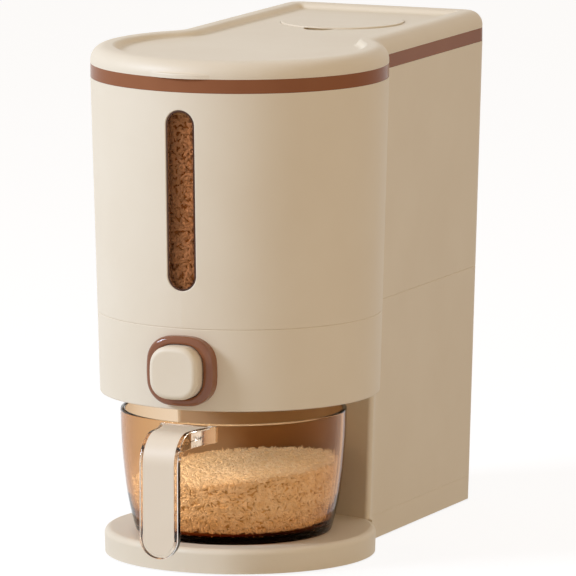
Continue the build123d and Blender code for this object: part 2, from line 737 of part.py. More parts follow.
def shaft_clip():
    ring = rod_x(SHAFT_Y, SHAFT_Z, clip_x(), clip_x() + CLIP_T, CLIP_R)
    ring -= rod_x(SHAFT_Y, SHAFT_Z, clip_x(), clip_x() + CLIP_T, SHAFT_R - CLIP_GROOVE)
    mouth = SHAFT_R - CLIP_GROOVE
    low_z = SHAFT_Z - CLIP_R
    return ring - block(clip_x(), clip_x() + CLIP_T, SHAFT_Y - mouth, SHAFT_Y + mouth, low_z, SHAFT_Z)


def gate_flap():
    half = FLAP_HALF_W
    web_front_y = SPOUT_BACK_Y + HUB_R / 2
    web_back_y = SHAFT_Y + HUB_R / 2
    flap = block(-half, half, FLAP_FRONT_Y, web_back_y, FLAP_Z, SEAL_Z)
    flap += block(-half, half, web_front_y, web_back_y, SHAFT_Z, SEAL_Z)
    rib = block(
        FLAP_RIB_X - FLAP_RIB_T / 2,
        FLAP_RIB_X + FLAP_RIB_T / 2,
        THROAT_FRONT_Y,
        web_front_y,
        FLAP_Z - FLAP_RIB_H,
        FLAP_Z,
    )
    flap += both_sides(rib)
    flap += rod_x(SHAFT_Y, SHAFT_Z, -half, half, HUB_R)
    return flap - rod_x(SHAFT_Y, SHAFT_Z, -half, half, SHAFT_R)


def gate_seal():
    return block(-FLAP_HALF_W, FLAP_HALF_W, FLAP_FRONT_Y, SPOUT_BACK_Y, SEAL_Z, SEAL_Z + SEAL_T)


def shaft_bushes():
    sleeve = rod_x(SHAFT_Y, SHAFT_Z, CHEEK_X - BUSH_FLANGE_T, CHEEK_OUT_X, BUSH_R)
    sleeve += rod_x(SHAFT_Y, SHAFT_Z, CHEEK_X - BUSH_FLANGE_T, CHEEK_X, BUSH_FLANGE_R)
    sleeve -= rod_x(SHAFT_Y, SHAFT_Z, CHEEK_X - BUSH_FLANGE_T, CHEEK_OUT_X, SHAFT_R + SHAFT_RUN)
    return group([sleeve, mirror(sleeve, about=Plane.YZ)])


def gate_frame():
    front_y = SEAT_FRONT_Y
    back_y = FRAME_SPOTS[-1][1] + FRAME_MARGIN
    top_z = FRAME_Z + FRAME_T
    reach = LOBE_R - draft(FRAME_Z) - WALL - FRAME_WALL_GAP
    plate = block(-LOBE_R, LOBE_R, front_y, back_y, FRAME_Z, top_z) & post(0, 0, FRAME_Z, top_z, reach)
    low_z = ARM_Z - FIT - LEDGE_T
    cheek = block(CHEEK_X, CHEEK_OUT_X, front_y, SHAFT_Y + CHEEK_BACK, low_z, FRAME_Z)
    ledge_x = PINION_X + RACK_W + LEDGE_LIP
    cheek += block(CHEEK_OUT_X, ledge_x, front_y, back_y, low_z, low_z + LEDGE_T)
    frame = plate + both_sides(cheek)
    frame += block(-CHEEK_X, CHEEK_X, front_y, SEAT_BACK_Y, low_z, FRAME_Z)
    frame += rod_y(0, BUTTON_Z, front_y - SPIGOT_L, front_y, SPIGOT_R)
    frame -= rod_x(SHAFT_Y, SHAFT_Z, -CHEEK_OUT_X, CHEEK_OUT_X, BUSH_R + BUSH_FIT)
    collar = Rectangle(THROAT_W + 2 * SPOUT_T + 2 * FIT, THROAT_D + 2 * SPOUT_T + 2 * FIT)
    frame -= extrude(Pos(0, THROAT_Y, FRAME_Z) * collar, amount=FRAME_T)
    for x, y in FRAME_SPOTS + FUNNEL_SPOTS:
        frame -= post(x, y, FRAME_Z, top_z, SCREW_HOLE_R)
    return frame


def gate_frame_screws():
    return group([screw(x, y, FRAME_Z + FRAME_T, FRAME_T + SCREW_BITE, False) for x, y in FRAME_SPOTS])


def return_spring():
    """One unbroken wire, each quarter turn of the helix drawn as two tangent arcs."""
    start_y = CARRIAGE_BACK_Y + WIRE_R + SPRING_FIT
    end_y = SEAT_FRONT_Y - WIRE_R - SPRING_FIT
    pitch = (end_y - start_y) / SPRING_TURNS
    climb = pitch / (2 * pi)
    length = hypot(SPRING_R, climb)

    def point(angle):
        return Vector(SPRING_R * cos(angle), start_y + climb * angle, BUTTON_Z + SPRING_R * sin(angle))

    def heading(angle):
        return Vector(-SPRING_R * sin(angle), climb, SPRING_R * cos(angle)) / length

    arcs = []
    for quarter in range(4 * SPRING_TURNS):
        angle = quarter * pi / 2
        here, there = point(angle), point(angle + pi / 2)
        out, into = heading(angle), heading(angle + pi / 2)
        chord = there - here
        both = out + into
        turn = 2 * (1 - out.dot(into))
        along = chord.dot(both)
        handle = (sqrt(along ** 2 + turn * chord.dot(chord)) - along) / turn
        leave, arrive = here + out * handle, there - into * handle
        middle = (leave + arrive) / 2
        arcs.append(Edge.make_tangent_arc(here, out, middle))
        arcs.append(Edge.make_tangent_arc(middle, arrive - leave, there))
    wire = Wire(arcs)
    section = Plane(origin=point(0), z_dir=heading(0)) * Circle(WIRE_R)
    print("return spring gap between turns", round(pitch * SPRING_R / length - 2 * WIRE_R, 3))
    return sweep(section, path=wire)


PANEL_Z = LID_TOP_Z - LID_RECESS
PANEL_UNDER_Z = PANEL_Z - LID_PANEL_T
CAP_SEAT_Z = PANEL_Z - CAP_T
COLLAR_Z = PANEL_UNDER_Z - COLLAR_H
CAP_HOLE_R = CAP_R + CAP_GAP
CAP_BORE_R = CAP_HOLE_R - CAP_LEDGE
SKIRT_INSET = WALL + SKIRT_GAP


def finger_lip():
    """Lens-shaped lip at the front that stands out over the trim band."""
    lip = post(0, LIP_R - LOBE_R - LIP_OUT, LID_Z, LID_Z + LIP_H, LIP_R)
    lip = fillet(lip.edges().group_by(Axis.Z)[-1], LIP_EDGE_R)
    return lip & block(-LIP_R, LIP_R, -LOBE_R - LIP_OUT, LID_EDGE_R - LOBE_R, LID_Z, LID_Z + LIP_H)


def thumb_notch(top_z):
    """Round hollow in front of the cap for a thumbnail, from the cap's seat up."""
    return post(0, CAP_Y - CAP_HOLE_R + NOTCH_SHIFT, CAP_SEAT_Z, top_z, NOTCH_R)


def lid_shell():
    lid = straight(0, LID_Z, LID_TOP_Z)
    lid = lid.fillet(LID_EDGE_R, lid.edges().group_by(Axis.Z)[-1])
    dish = straight(LID_RIM, PANEL_Z, LID_TOP_Z + OVERRUN)
    dish = dish.fillet(LID_FLOOR_R, dish.edges().group_by(Axis.Z)[0])
    lid -= dish
    crest = lid.faces().filter_by(Plane.XY).group_by(Axis.Z)[-1].face().inner_wires()[0].edges()
    lid = lid.fillet(LID_CREST_R, crest)
    lid += finger_lip()
    lid -= straight(LID_SIDE_T, LID_Z, PANEL_UNDER_Z)
    skirt = straight(SKIRT_INSET, LID_Z - SKIRT_H, PANEL_UNDER_Z)
    skirt -= straight(SKIRT_INSET + SKIRT_T, LID_Z - SKIRT_H, PANEL_UNDER_Z)
    gasket_top = LID_Z - LID_GASKET_DROP
    groove = straight(SKIRT_INSET, gasket_top - LID_GASKET_H, gasket_top)
    skirt -= groove - straight(SKIRT_INSET + LID_GROOVE, gasket_top - LID_GASKET_H, gasket_top)
    lid += skirt
    lid += post(0, CAP_Y, COLLAR_Z, PANEL_UNDER_Z, CAP_BORE_R + COLLAR_W)
    lid -= post(0, CAP_Y, CAP_SEAT_Z, LID_TOP_Z, CAP_HOLE_R)
    lid -= post(0, CAP_Y, COLLAR_Z, CAP_SEAT_Z, CAP_BORE_R)
    return lid - thumb_notch(LID_TOP_Z)


def lid_gasket():
    top = LID_Z - LID_GASKET_DROP
    ring = straight(WALL + FIT, top - LID_GASKET_H, top)
    return ring - straight(SKIRT_INSET + LID_GROOVE, top - LID_GASKET_H, top)


def desiccant_cap():
    top_z = PANEL_Z + CAP_PROUD
    cap = post(0, CAP_Y, CAP_SEAT_Z, top_z, CAP_R)
    cap = fillet(cap.edges().group_by(Axis.Z)[-1], CAP_EDGE_R)
    cap -= thumb_notch(top_z - NOTCH_SKIN) - post(0, CAP_Y, CAP_SEAT_Z, top_z, CAP_BORE_R)
    plug_r = CAP_BORE_R - CAP_PLUG_GAP
    plug_z = CAP_SEAT_Z - CAP_PLUG_H
    cap += post(0, CAP_Y, plug_z, CAP_SEAT_Z, plug_r)
    cap -= post(0, CAP_Y, plug_z, CAP_SEAT_Z, plug_r - CAP_PLUG_T)
    return cap - cap_seal_ring(plug_r)


def cap_seal_ring(outer_r):
    """Ring round the cap's plug, let into a groove halfway up."""
    low = CAP_SEAT_Z - (CAP_PLUG_H + CAP_SEAL_H) / 2
    inner_r = CAP_BORE_R - CAP_PLUG_GAP - CAP_SEAL_GROOVE
    return post(0, CAP_Y, low, low + CAP_SEAL_H, outer_r) - post(0, CAP_Y, low, low + CAP_SEAL_H, inner_r)


def cap_seal():
    return cap_seal_ring(CAP_BORE_R - FIT)


def desiccant_basket():
    low = COLLAR_Z - BASKET_H
    basket = post(0, CAP_Y, low, COLLAR_Z, BASKET_R)
    basket += post(0, CAP_Y, COLLAR_Z - BASKET_T, COLLAR_Z, BASKET_R + BASKET_FLANGE)
    basket -= post(0, CAP_Y, low + BASKET_T, COLLAR_Z, BASKET_R - BASKET_T)
    for step in range(-VENTS_EACH_WAY, VENTS_EACH_WAY + 1):
        vent = Pos(step * VENT_PITCH, CAP_Y, low) * SlotOverall(VENT_L, VENT_W, rotation=90)
        basket -= extrude(vent, amount=BASKET_T)
    return basket


def cup_profile(inset, floor_z, top_z):
    """Half section of the bowl from its axis to its wall, drawn in by inset."""
    waist_z = BASE_TOP_Z + CUP_WAIST_H
    foot = CUP_FOOT_R - inset
    waist = CUP_WAIST_R - inset
    rim = CUP_RIM_R - inset
    corner = (foot + (waist - foot) * CUP_CORNER_R_SHARE, floor_z + (waist_z - floor_z) * CUP_CORNER_H_SHARE)
    wall = ((waist + rim) / 2 + CUP_WALL_BOW, (waist_z + top_z) / 2)
    edges = [
        Line((0, floor_z), (foot, floor_z)),
        ThreePointArc((foot, floor_z), corner, (waist, waist_z)),
        ThreePointArc((waist, waist_z), wall, (rim, top_z)),
        Line((rim, top_z), (0, top_z)),
        Line((0, top_z), (0, floor_z)),
    ]
    return make_face(edges)


def cup_outer():
    section = Plane.XZ * cup_profile(0, BASE_TOP_Z, BASE_TOP_Z + CUP_H)
    return Pos(0, CUP_Y, 0) * revolve(section, axis=Axis.Z)


def cup_bowl():
    section = Plane.XZ * cup_profile(CUP_WALL, BASE_TOP_Z + CUP_FLOOR, BASE_TOP_Z + CUP_H)
    well = revolve(section, axis=Axis.Z)
    well = well.fillet(CUP_WELL_R, well.edges().filter_by(GeomType.CIRCLE).group_by(Axis.Z)[0])
    bowl = cup_outer()
    bowl = bowl.fillet(CUP_BASE_EDGE_R, bowl.edges().filter_by(GeomType.CIRCLE).group_by(Axis.Z)[0])
    bowl -= Pos(0, CUP_Y, 0) * well
    rim = bowl.edges().filter_by(GeomType.CIRCLE).group_by(Axis.Z)[-1]
    return bowl.fillet(CUP_RIM_EDGE_R, rim)


def strap_side(depth):
    """Side view of the handle: bridge, bend and hanging strap, or its outer skin to a depth."""
    top_z = BASE_TOP_Z + CUP_H - HANDLE_RIM_DROP
    front_y = -HANDLE_REACH
    back_y = CUP_Y - CUP_WAIST_R + CUP_WALL
    bend_y = front_y + HANDLE_BEND_R
    bend_z = top_z - HANDLE_BEND_R
    bow = HANDLE_BEND_R * sqrt(1 / 2)
    thick_bridge = depth if depth else BRIDGE_T
    thick_strap = depth if depth else HANDLE_T
    inner_r = HANDLE_BEND_R - depth if depth else BRIDGE_BEND_R
    end_y = bend_y + INLAY_RUN if depth else back_y
    inner_y = front_y + thick_strap
    inner_z = top_z - thick_bridge
    inner_bow = inner_r * sqrt(1 / 2)
    edges = [
        Line((end_y, top_z), (bend_y, top_z)),
        ThreePointArc((bend_y, top_z), (bend_y - bow, bend_z + bow), (front_y, bend_z)),
        Line((front_y, bend_z), (front_y, HANDLE_END_Z)),
        Line((front_y, HANDLE_END_Z), (inner_y, HANDLE_END_Z)),
        Line((inner_y, HANDLE_END_Z), (inner_y, inner_z - inner_r)),
        ThreePointArc(
            (inner_y, inner_z - inner_r),
            (inner_y + inner_r - inner_bow, inner_z - inner_r + inner_bow),
            (inner_y + inner_r, inner_z),
        ),
        Line((inner_y + inner_r, inner_z), (end_y, inner_z)),
        Line((end_y, inner_z), (end_y, top_z)),
    ]
    return Plane.YZ * make_face(edges)


def strap_blank(margin, depth):
    """Handle shape drawn in at its edges by margin, as deep as asked from its outer face."""
    half = HANDLE_W / 2 - margin
    root = HANDLE_ROOT_W / 2 - margin
    side = extrude(strap_side(depth), amount=HANDLE_ROOT_W / 2, both=True)
    top_z = BASE_TOP_Z + CUP_H
    end_z = HANDLE_END_Z + margin
    root_y = CUP_Y - CUP_RIM_R
    flare_y = HANDLE_BEND_R - HANDLE_REACH
    front_view = extrude(
        Plane.XZ * Pos(0, (end_z + half + top_z) / 2) * Rectangle(HANDLE_ROOT_W, top_z - end_z - half),
        amount=HANDLE_REACH + OVERRUN,
    )
    front_view += rod_y(0, end_z + half, -HANDLE_REACH - OVERRUN, 0, half)
    middle = (half + (root - half) * FLARE_SHARE, (flare_y + root_y) / 2)
    right = [
        Line((half, -HANDLE_REACH - OVERRUN), (half, flare_y)),
        ThreePointArc((half, flare_y), middle, (root, root_y)),
        Line((root, root_y), (root, CUP_Y)),
    ]
    left = [mirror(edge, about=Plane.YZ) for edge in right]
    ends = [
        Line((-half, -HANDLE_REACH - OVERRUN), (half, -HANDLE_REACH - OVERRUN)),
        Line((-root, CUP_Y), (root, CUP_Y)),
    ]
    top_view = extrude(make_face(right + left + ends), amount=top_z + OVERRUN)
    return side & front_view & top_view


def cup_handle():
    handle = strap_blank(0, 0)
    long_edges = handle.edges().filter_by(lambda edge: edge.length > HANDLE_EDGE_R * 4)
    handle = handle.fillet(HANDLE_EDGE_R, long_edges)
    handle -= strap_blank(INLAY_MARGIN - INLAY_FIT, INLAY_T + INLAY_FIT)
    return handle - cup_outer()


def handle_plate():
    return strap_blank(INLAY_MARGIN, INLAY_T) - cup_outer()


PIECES = (
    base_tray,
    rubber_feet,
    base_screws,
    lower_body,
    head_underplate,
    underplate_screws,
    upper_body,
    body_screws,
    window_gasket,
    window_pane,
    trim_band,
    hopper_funnel,
    funnel_screws,
    gate_frame,
    gate_frame_screws,
    shaft_bushes,
    button_bezel,
    return_spring,
    push_button,
    button_carriage,
    gate_flap,
    gate_seal,
    gate_shaft,
    gate_pinion,
    shaft_clip,
    lid_shell,
    lid_gasket,
    desiccant_basket,
    desiccant_cap,
    cap_seal,
    cup_bowl,
    cup_handle,
    handle_plate,
)

os.makedirs("parts", exist_ok=True)
for piece in PIECES:
    export_step(Pos(0, FRAME_Y, 0) * piece(), f"parts/{piece.__name__}.step")
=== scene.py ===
import json
import math
import random

import bpy
from mathutils import Matrix, Vector


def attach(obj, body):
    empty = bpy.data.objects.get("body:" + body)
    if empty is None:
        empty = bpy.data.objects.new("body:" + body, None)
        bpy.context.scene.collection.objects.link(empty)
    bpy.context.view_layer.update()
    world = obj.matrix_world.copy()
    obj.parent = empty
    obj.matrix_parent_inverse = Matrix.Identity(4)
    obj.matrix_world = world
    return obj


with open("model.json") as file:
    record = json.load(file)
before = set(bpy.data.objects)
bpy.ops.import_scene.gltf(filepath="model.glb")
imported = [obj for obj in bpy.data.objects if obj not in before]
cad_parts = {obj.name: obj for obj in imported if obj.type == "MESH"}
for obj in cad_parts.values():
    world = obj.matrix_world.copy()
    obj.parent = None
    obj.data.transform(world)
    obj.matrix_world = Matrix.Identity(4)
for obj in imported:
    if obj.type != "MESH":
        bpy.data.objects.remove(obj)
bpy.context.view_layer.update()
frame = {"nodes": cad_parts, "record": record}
NODES = frame["nodes"]
MM = 0.001
WHITE = (1, 1, 1, 1)

# Places and sizes of the solids that the loose rice lies against, in millimetres
LOBE_Y = -60.7
LOBE_R = 98.2
LEAN_SHARE = 0.0275
BAND_Z = 317.6
WINDOW_LOW_Z = 187.3
WINDOW_HIGH_Z = 305.9
WINDOW_HALF_W = 10.0
PANE_BACK = 6.6
CUP_Y = -71.2
CUP_FLOOR_Z = 22.3
CUP_WAIST_R = 67.4
CUP_RIM_R = 71.6
# Inner radius and height at points up the cup's rounded foot and leaning wall
CUP_INSIDE = (
    (55.6, CUP_FLOOR_Z),
    (60.4, 24.4),
    (62.6, 28.0),
    (65.1, 34.0),
    (CUP_WAIST_R, 43.3),
    (69.4, 60.0),
    (CUP_RIM_R, 98.9),
)


def linear(code):
    """An sRGB hex colour as the linear RGBA that a colour socket takes."""
    shares = [int(code[i:i + 2], 16) / 255 for i in (1, 3, 5)]
    steps = [v / 12.92 if v <= 0.04045 else ((v + 0.055) / 1.055) ** 2.4 for v in shares]
    return (*steps, 1.0)


def add(tree, kind, settings=None, values=None, links=None):
    """One node: its settings, the values of its free sockets and the links into its sockets."""
    node = tree.nodes.new(kind)
    for name, value in (settings or {}).items():
        setattr(node, name, value)
    for name, value in (values or {}).items():
        node.inputs[name].default_value = value
    for name, source in (links or {}).items():
        tree.links.new(source, node.inputs[name])
    return node


def new_material(name):
    """Empty node material and its tree."""
    material = bpy.data.materials.new(name)
    material.use_nodes = True
    material.node_tree.nodes.clear()
    return material, material.node_tree


def output(tree, shader, volume=None):
    """Output of a material: its surface and, for clear plastic, its volume."""
    links = {"Surface": shader}
    if volume:
        links["Volume"] = volume
    add(tree, "ShaderNodeOutputMaterial", links=links)


def noise(tree, place, size_mm, detail, roughness=0.5):
    """Pattern of 0 to 1 whose features are this many millimetres across."""
    return add(
        tree,
        "ShaderNodeTexNoise",
        values={"Scale": 1 / (size_mm * MM), "Detail": detail, "Roughness": roughness},
        links={"Vector": place},
    ).outputs["Fac"]


def relief(tree, pattern, strength, depth_mm):
    """Normal that makes a pattern look raised by up to a depth."""
    return add(
        tree,
        "ShaderNodeBump",
        values={"Strength": strength, "Distance": depth_mm * MM},
        links={"Height": pattern},
    ).outputs["Normal"]


def around(tree, pattern, middle, spread):
    """Value that follows a pattern from below to above a middle value."""
    return add(
        tree,
        "ShaderNodeMapRange",
        values={"To Min": middle - spread, "To Max": middle + spread},
        links={"Value": pattern},
    ).outputs["Result"]


# Shares of the noise at which a patch is all dark or all light
PATCH_EDGES = (0.34, 0.66)


def varied_colour(tree, place, light, dark, size_mm):
    """Colour that drifts between two close tones in patches of the given size."""
    patches = noise(tree, place, size_mm, detail=3.0, roughness=0.55)
    ramp = add(tree, "ShaderNodeValToRGB", links={"Fac": patches})
    for stop, edge, tone in zip(ramp.color_ramp.elements, PATCH_EDGES, (dark, light)):
        stop.position = edge
        stop.color = linear(tone)
    return ramp.outputs["Color"]


# Sizes of marks and patches in the finishes, and depths of their relief, in millimetres
FLOW_DRIFT_MM = 70.0
ERODED_DEPTH_MM = 0.05
RIPPLE_DEPTH_MM = 0.1
DRAWING_MARK_MM = 0.6
ZINC_PATCH_MM = 3.0
FURROW_MM = 1.2
FURROW_DEPTH_MM = 0.2
RICE_PATCH_MM = 5.0
# How far the drawing marks take the steel's roughness either way, and how much the furrows show
DRAWING_SPREAD = 0.08
FURROW_STRENGTH = 0.25


def moulded_plastic(
    name, light, dark, roughness, spread, grain_mm, grain_depth, gloss=0.5, ior=1.54
):
    """Injection-moulded plastic: even colour with faint flow drift and the mould's eroded grain."""
    material, tree = new_material(name)
    place = add(tree, "ShaderNodeTexCoord").outputs["Object"]
    colour = varied_colour(tree, place, light, dark, FLOW_DRIFT_MM)
    grain = noise(tree, place, grain_mm, detail=2.0)
    bump = relief(tree, grain, grain_depth, ERODED_DEPTH_MM)
    sheen = around(tree, grain, roughness, spread)
    body = add(
        tree,
        "ShaderNodeBsdfPrincipled",
        values={"IOR": ior, "Specular IOR Level": gloss},
        links={"Base Color": colour, "Roughness": sheen, "Normal": bump},
    )
    output(tree, body.outputs["BSDF"])
    return material


def clear_plastic(name, tint, density, ior, ripple_mm, ripple_depth, sheen="#FFFFFF"):
    """Polished clear plastic: colour that deepens with thickness, a faintly rippled face.

    Lamps pass straight through it. The sheen tints what it mirrors where it is seen head-on.
    """
    material, tree = new_material(name)
    place = add(tree, "ShaderNodeTexCoord").outputs["Object"]
    ripple = noise(tree, place, ripple_mm, detail=1.0)
    bump = relief(tree, ripple, ripple_depth, RIPPLE_DEPTH_MM)
    glass = add(
        tree,
        "ShaderNodeBsdfPrincipled",
        values={
            "Base Color": WHITE,
            "Roughness": 0.0,
            "IOR": ior,
            "Specular Tint": linear(sheen),
            "Transmission Weight": 1.0,
        },
        links={"Normal": bump},
    )
    to_lamp = add(tree, "ShaderNodeBsdfTransparent")
    rays = add(tree, "ShaderNodeLightPath")
    surface = add(
        tree,
        "ShaderNodeMixShader",
        links={
            0: rays.outputs["Is Shadow Ray"],
            1: glass.outputs["BSDF"],
            2: to_lamp.outputs["BSDF"],
        },
    )
    body = add(
        tree,
        "ShaderNodeVolumeAbsorption",
        values={"Color": linear(tint), "Density": density},
    )
    output(tree, surface.outputs["Shader"], body.outputs["Volume"])
    return material


def drawn_steel(name, light, dark, roughness):
    """Zinc-coated and drawn steel: bright metal with fine drawing marks."""
    material, tree = new_material(name)
    place = add(tree, "ShaderNodeTexCoord").outputs["Object"]
    marks = noise(tree, place, DRAWING_MARK_MM, detail=3.0)
    sheen = around(tree, marks, roughness, DRAWING_SPREAD)
    colour = varied_colour(tree, place, light, dark, ZINC_PATCH_MM)
    metal = add(
        tree,
        "ShaderNodeBsdfPrincipled",
        values={"Metallic": 1.0},
        links={"Base Color": colour, "Roughness": sheen},
    )
    output(tree, metal.outputs["BSDF"])
    return material


def polished_rice(name, light, dark, painted_glow=0.0):
    """Milled rice: pale waxy grains of uneven tone. The glow is painted light: an emission that
    brightens the grains beyond what the lamps give.
    """
    material, tree = new_material(name)
    place = add(tree, "ShaderNodeTexCoord").outputs["Object"]
    furrows = noise(tree, place, FURROW_MM, detail=2.0)
    bump = relief(tree, furrows, FURROW_STRENGTH, FURROW_DEPTH_MM)
    tone = varied_colour(tree, place, light, dark, RICE_PATCH_MM)
    grain = add(
        tree,
        "ShaderNodeBsdfPrincipled",
        values={"Roughness": 0.42, "IOR": 1.45, "Emission Strength": painted_glow},
        links={"Base Color": tone, "Emission Color": tone, "Normal": bump},
    )
    output(tree, grain.outputs["BSDF"])
    return material


# Finishes. The eroded grain of the real mouldings is about 0.3 mm, drawn at 0.8 to 1.4 mm so that
# it can show.
AMBER_SHEEN = "#7A4E2C"
SILICONE_IOR = 1.41
FINISH = {
    # Matte and satin beige mouldings: the body's soft tone, and smoother pieces that are touched
    "body_beige": moulded_plastic(
        "matte_abs_beige",
        "#EADFC8",
        "#E7DBC3",
        roughness=0.5,
        spread=0.05,
        grain_mm=0.9,
        grain_depth=0.25,
    ),
    "handle_beige": moulded_plastic(
        "satin_abs_beige",
        "#EFE3CD",
        "#ECDFC8",
        roughness=0.42,
        spread=0.04,
        grain_mm=0.9,
        grain_depth=0.15,
    ),
    # Satin brown moulding: a warm line under the lid with little mirror in it
    "trim_brown": moulded_plastic(
        "satin_abs_brown",
        "#9A6545",
        "#935E3F",
        roughness=0.2,
        spread=0.03,
        grain_mm=1.4,
        grain_depth=0.04,
        gloss=0.06,
    ),
    # Soft rubbers: dull and dark
    "rubber_grey": moulded_plastic(
        "silicone_rubber_grey",
        "#5B5955",
        "#504E4B",
        roughness=0.7,
        spread=0.05,
        grain_mm=0.8,
        grain_depth=0.3,
        ior=SILICONE_IOR,
    ),
    "rubber_brown": moulded_plastic(
        "silicone_rubber_brown",
        "#4A2A18",
        "#40230F",
        roughness=0.6,
        spread=0.05,
        grain_mm=0.8,
        grain_depth=0.2,
        ior=SILICONE_IOR,
    ),
    # Unpainted inner mouldings, and plated wire, shafts and screws
    "inner_white": moulded_plastic(
        "natural_abs_offwhite",
        "#DDD6CA",
        "#D6CFC2",
        roughness=0.5,
        spread=0.05,
        grain_mm=0.9,
        grain_depth=0.2,
    ),
    "steel": drawn_steel("zinc_coated_steel", "#C9C9C6", "#B4B4B2", roughness=0.32),
    # Clear mouldings. The cup refracts less than such a plastic does, so that its edges mirror less
    # of the white studio.
    "cup_amber": clear_plastic(
        "clear_san_amber",
        "#E0AF00",
        density=235.0,
        ior=1.3,
        ripple_mm=22.0,
        ripple_depth=0.02,
        sheen=AMBER_SHEEN,
    ),
    "window_clear": clear_plastic(
        "clear_san_smoke_amber",
        "#CC9300",
        density=200.0,
        ior=1.5,
        ripple_mm=22.0,
        ripple_depth=0.02,
        sheen=AMBER_SHEEN,
    ),
    "handle_clear": clear_plastic(
        "clear_acrylic", "#F0E0CA", density=45.0, ior=1.49, ripple_mm=18.0, ripple_depth=0.02
    ),
}
# Polished brown moulding: crisp highlights on the ring round the button
BEZEL_GLOSS = moulded_plastic(
    "gloss_abs_brown",
    "#8F5A3A",
    "#885436",
    roughness=0.1,
    spread=0.02,
    grain_mm=1.4,
    grain_depth=0.03,
    gloss=0.4,
)
# Milled rice: loose grains; grains in the cup with a painted glow, stronger on top than at the
# wall; and copies painted darker as shade for the rice underneath and behind them
RICE = polished_rice("milled_rice", "#FBF4E6", "#F0E4CC")
# Painted glow: the grains on top of the cup's rice give light of their own, to lighten them where
# the head shades them
RICE_TOP_PAINTED_GLOW = polished_rice("milled_rice_on_top_painted_glow", "#FBF4E6", "#F0E4CC", painted_glow=0.2)
# Painted glow, weaker than on top: the grains against the cup's wall give a little light of their
# own
RICE_WALL_PAINTED_GLOW = polished_rice("milled_rice_at_the_wall_painted_glow", "#FBF4E6", "#EADABB", painted_glow=0.06)
# Painted shade: the rice under the loose grains is drawn darker, as the shade in the gaps between
# them
RICE_PAINTED_SHADE_UNDER = polished_rice("milled_rice_underneath_painted_shade", "#DFC99F", "#C9AE80")
# Painted shade: the rice behind the sight window is drawn darker, as the hopper's dim inside
RICE_SHADE = polished_rice("milled_rice_painted_shade_in_the_hopper", "#CDB182", "#A88656")

for part in frame["record"]["subparts"]:
    node = NODES[part["node"]]
    finish = BEZEL_GLOSS if part["node"] == "button_bezel" else FINISH[part["material_slot"]]
    if not node.material_slots:
        node.data.materials.append(finish)
    for slot in node.material_slots:
        slot.material = finish


def new_piece(name, corners, faces, material, body):
    """Mesh piece in metres from corners in millimetres, smooth shaded, moving with a body."""
    mesh = bpy.data.meshes.new(name)
    mesh.from_pydata([tuple(c * MM for c in corner) for corner in corners], [], faces)
    mesh.polygons.foreach_set("use_smooth", [True] * len(mesh.polygons))
    mesh.materials.append(material)
    mesh.update()
    piece = bpy.data.objects.new(name, mesh)
    bpy.context.scene.collection.objects.link(piece)
    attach(piece, body)


# Grains, drawn a little longer behind the window and in the hopper so that they show. The shares
# are of the nominal length and the tilt is in radians. The seat is how far a grain reaches from its
# middle, and the air is the gap it keeps to the solids.
GRAIN_SIDES = 5
GRAIN_RINGS = (0.22, 0.5, 0.78)
GRAIN_GERM_POWER = 0.94
GRAIN_BLUNT_POWER = 0.7
GRAIN_MM = 5.0
HOPPER_GRAIN_MM = 6.2
GRAIN_LENGTH_SHARE = (0.9, 1.12)
GRAIN_WIDTH_SHARE = (0.36, 0.42)
GRAIN_FLAT_SHARE = 0.86
GRAIN_TILT = 0.32
GRAIN_SEAT = 1.4
AIR = 0.35
CUP_TOP_GRAINS = 4800
CUP_WALL_GRAINS = 6200
WINDOW_GRAINS = 800
HOPPER_GRAINS = 5600
UPWARDS = (0, 0, 1)


def grain_form():
    """Corners and faces of one rice grain, one unit long and wide, blunt at its germ end."""
    corners = [(-0.5, 0.0, 0.0)]
    for share in GRAIN_RINGS:
        reach = math.sin(math.pi * share ** GRAIN_GERM_POWER) ** GRAIN_BLUNT_POWER
        for side in range(GRAIN_SIDES):
            turn = 2 * math.pi * side / GRAIN_SIDES
            corners.append((share - 0.5, reach * math.cos(turn) / 2, reach * math.sin(turn) / 2))
    corners.append((0.5, 0.0, 0.0))
    last = len(corners) - 1
    faces = []
    for side in range(GRAIN_SIDES):
        after = (side + 1) % GRAIN_SIDES
        faces.append((0, 1 + after, 1 + side))
        for ring in range(len(GRAIN_RINGS) - 1):
            low = 1 + ring * GRAIN_SIDES
            high = low + GRAIN_SIDES
            faces.append((low + side, low + after, high + after, high + side))
        top = 1 + (len(GRAIN_RINGS) - 1) * GRAIN_SIDES
        faces.append((top + side, top + after, last))
    return [Vector(c) for c in corners], faces


GRAIN_CORNERS, GRAIN_FACES = grain_form()


def heap(name, seats, body, seed, grain_mm=GRAIN_MM, finish=RICE):
    """One piece of many loose grains. Each seat is a middle point and the way its surface faces."""
    draw = random.Random(seed)
    corners, faces = [], []
    for middle, facing in seats:
        length = grain_mm * draw.uniform(*GRAIN_LENGTH_SHARE)
        width = grain_mm * draw.uniform(*GRAIN_WIDTH_SHARE)
        size = Matrix.Diagonal((length, width, width * GRAIN_FLAT_SHARE)).to_4x4()
        tilt = Matrix.Rotation(draw.gauss(0, GRAIN_TILT), 4, "Y")
        tilt = tilt @ Matrix.Rotation(draw.uniform(0, math.pi), 4, "X")
        yaw = Matrix.Rotation(draw.uniform(0, 2 * math.pi), 4, "Z")
        stand = Vector(facing).to_track_quat("Z", "Y").to_matrix().to_4x4()
        place = Matrix.Translation(middle) @ stand @ yaw @ tilt @ size
        start = len(corners)
        corners += [place @ c for c in GRAIN_CORNERS]
        faces += [tuple(start + i for i in face) for face in GRAIN_FACES]
    new_piece(name, corners, faces, finish, body)


# Rice in the cup: it lies higher towards the right and the back
RICE_MID_Z = 58.7
RICE_LEAN = 7.0
RICE_LEAN_WAY = (0.92, 0.39)
